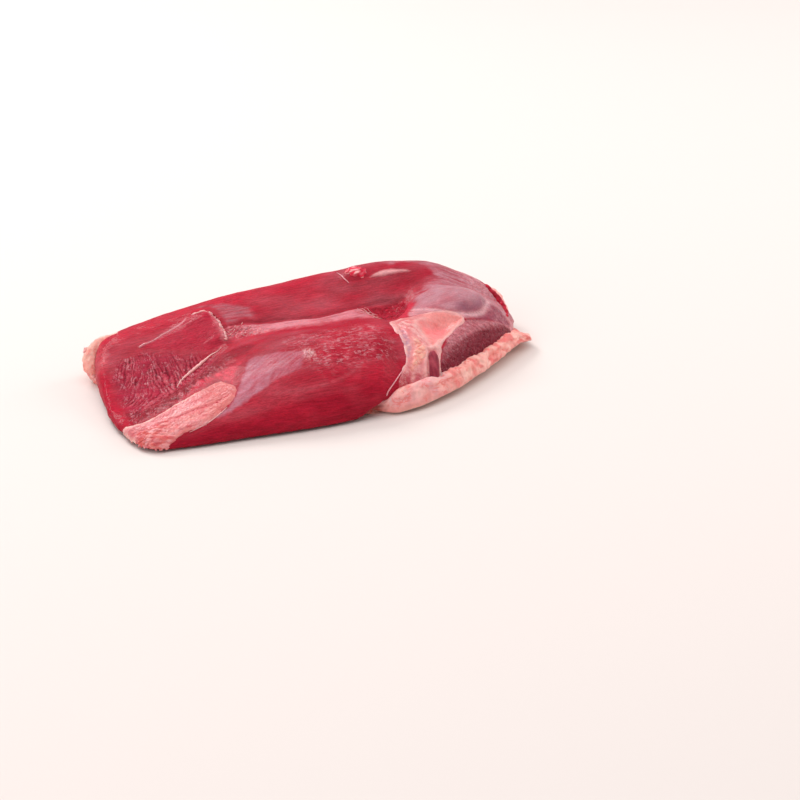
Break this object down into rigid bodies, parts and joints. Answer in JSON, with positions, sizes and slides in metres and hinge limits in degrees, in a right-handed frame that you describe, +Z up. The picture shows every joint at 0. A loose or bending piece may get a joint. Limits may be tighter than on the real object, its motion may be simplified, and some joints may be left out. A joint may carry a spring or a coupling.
{
  "type": "raw duck breast fillet",
  "caption": "Raw breast muscle lying flesh side up on its layer of skin and fat, tapered to the wing end, with an uneven flesh side.",
  "frame": {"origin": "middle of the fillet's bounding box, on the surface that it lies on", "axes": "+X along the fillet from its tail end to its wing end, +Y towards the keel edge, +Z up through the flesh side"},
  "size_m": [0.1922, 0.1036, 0.0328],
  "materials": {
    "muscle": "moist raw red meat, semi-gloss",
    "skin": "raw poultry skin and fat, moist, semi-gloss"
  },
  "bodies": {
    "root": {"breast_muscle": "muscle", "skin_and_fat": "skin"}
  },
  "joints": []
}
